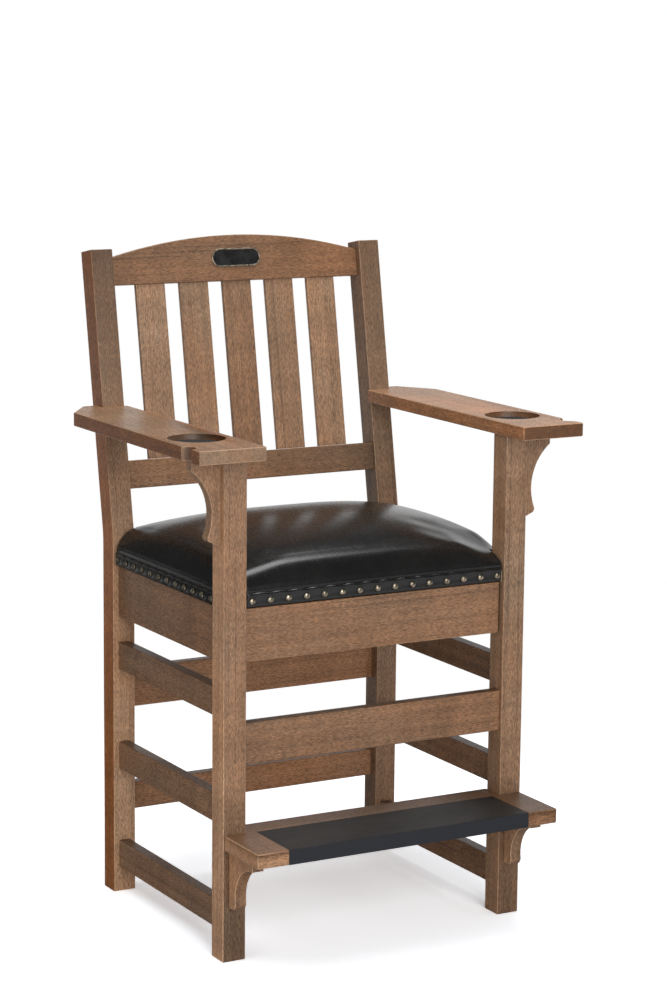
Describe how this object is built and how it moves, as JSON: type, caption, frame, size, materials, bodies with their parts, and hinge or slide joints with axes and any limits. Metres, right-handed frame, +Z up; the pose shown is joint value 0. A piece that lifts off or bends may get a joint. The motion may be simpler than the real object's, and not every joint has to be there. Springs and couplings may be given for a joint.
{
  "type": "billiard spectator chair",
  "caption": "Tall wooden spectator armchair with a raked slat back, crowned leather seat over a hidden drawer, cup recesses and cue notches in the arms, and a footrest.",
  "frame": {"origin": "on the floor, under the middle of the chair's bounding box", "axes": "+X to the right as seen from in front, +Y from the front of the chair to its back, +Z up; the chair faces -Y"},
  "size_m": [0.786, 0.7266, 1.2464],
  "materials": {
    "oak": "brown stain under a satin lacquer, open grain along each piece",
    "plywood": "bare plywood",
    "foam": "open-cell foam",
    "leather": "smooth black, satin",
    "brass": "antiqued",
    "felt": "black felt",
    "steel": "black, satin",
    "enamel": "black enamel"
  },
  "bodies": {
    "frame": {"front_leg_left": "oak", "front_leg_right": "oak", "back_post_left": "oak", "back_post_right": "oak", "side_lower_rail_left": "oak", "side_lower_rail_right": "oak", "side_middle_rail_left": "oak", "side_middle_rail_right": "oak", "side_upper_rail_left": "oak", "side_upper_rail_right": "oak", "side_apron_left": "oak", "side_apron_right": "oak", "rear_apron": "oak", "rear_upper_rail": "oak", "rear_lower_rail": "oak", "front_rail": "oak", "seat_bearer": "oak", "crest_rail": "oak", "back_rail": "oak", "back_slat_1": "oak", "back_slat_2": "oak", "back_slat_3": "oak", "back_slat_4": "oak", "back_slat_5": "oak", "crest_plate": "enamel", "crest_plate_rim": "brass", "arm_left": "oak", "arm_right": "oak", "cup_pad_left": "felt", "cup_pad_right": "felt", "arm_bracket_left": "oak", "arm_bracket_right": "oak", "footrest_board": "oak", "footrest_tread": "steel", "footrest_bracket_left": "oak", "footrest_bracket_right": "oak", "seat_board": "plywood", "seat_foam": "foam", "seat_cover": "leather", "seat_nails_front": "brass", "seat_nails_rear": "brass", "seat_nails_left": "brass", "seat_nails_right": "brass", "drawer_runner_left": "oak", "drawer_runner_right": "oak"},
    "drawer": {"drawer_front": "oak", "drawer_side_left": "plywood", "drawer_side_right": "plywood", "drawer_back": "plywood", "drawer_bottom": "plywood"}
  },
  "joints": [
    {"name": "drawer_slide", "type": "slide", "parent": "frame", "child": "drawer", "axis": [0, -1, 0], "range_m": [0, 0.25]}
  ]
}
